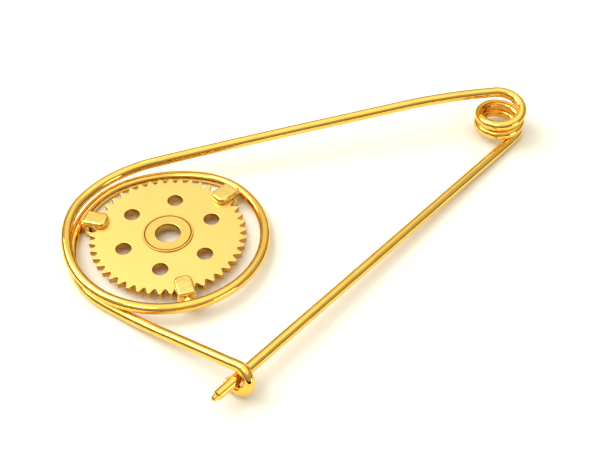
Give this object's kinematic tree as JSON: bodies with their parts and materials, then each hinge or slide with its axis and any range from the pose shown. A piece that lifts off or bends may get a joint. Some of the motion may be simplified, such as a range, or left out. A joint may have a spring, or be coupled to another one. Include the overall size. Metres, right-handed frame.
{
  "type": "kilt pin brooch",
  "caption": "Large sprung safety-pin brooch of round gold-tone wire, with a coil, a hook catch and a big loop in which claws hold a toothed clock wheel with a hub bush.",
  "frame": {"origin": "centre of the toothed wheel's bore, halfway through the wheel's plate", "axes": "+Z along the wheel's axis, up from the surface the brooch lies on; +X along the pin, from its point to the spring coil; +Y from the pin towards the upper arm"},
  "size_m": [0.0926, 0.055, 0.0089],
  "materials": {
    "wire_brass": "polished gold-tone",
    "wheel_brass": "satin gold-tone",
    "bush_brass": "turned and polished",
    "claw_brass": "polished gold-tone",
    "solder_metal": "gold-plated solder"
  },
  "bodies": {
    "frame": {"spring_coil": "wire_brass", "upper_arm": "wire_brass", "loop_upper": "wire_brass", "loop_lower": "wire_brass", "lower_arm": "wire_brass", "catch_hook": "wire_brass", "claw_1": "claw_brass", "claw_2": "claw_brass", "claw_3": "claw_brass", "solder_1": "solder_metal", "solder_2": "solder_metal", "solder_3": "solder_metal"},
    "pin": {"pin_shaft": "wire_brass"},
    "wheel": {"gear_wheel": "wheel_brass", "hub_bush": "bush_brass"}
  },
  "joints": [
    {"name": "pin_swing", "type": "hinge", "parent": "frame", "child": "pin", "pos_m": [0.066, -0.0283, -0.001], "axis": [0, 0.1788, 0.9839], "range_deg": [-3, 0.3], "stiffness_Nm_per_rad": 1.27, "deforming": ["spring_coil"]},
    {"name": "wheel_spin", "type": "hinge", "parent": "frame", "child": "wheel", "pos_m": [0, 0, 0], "axis": [0, 0, 1], "continuous": true}
  ]
}
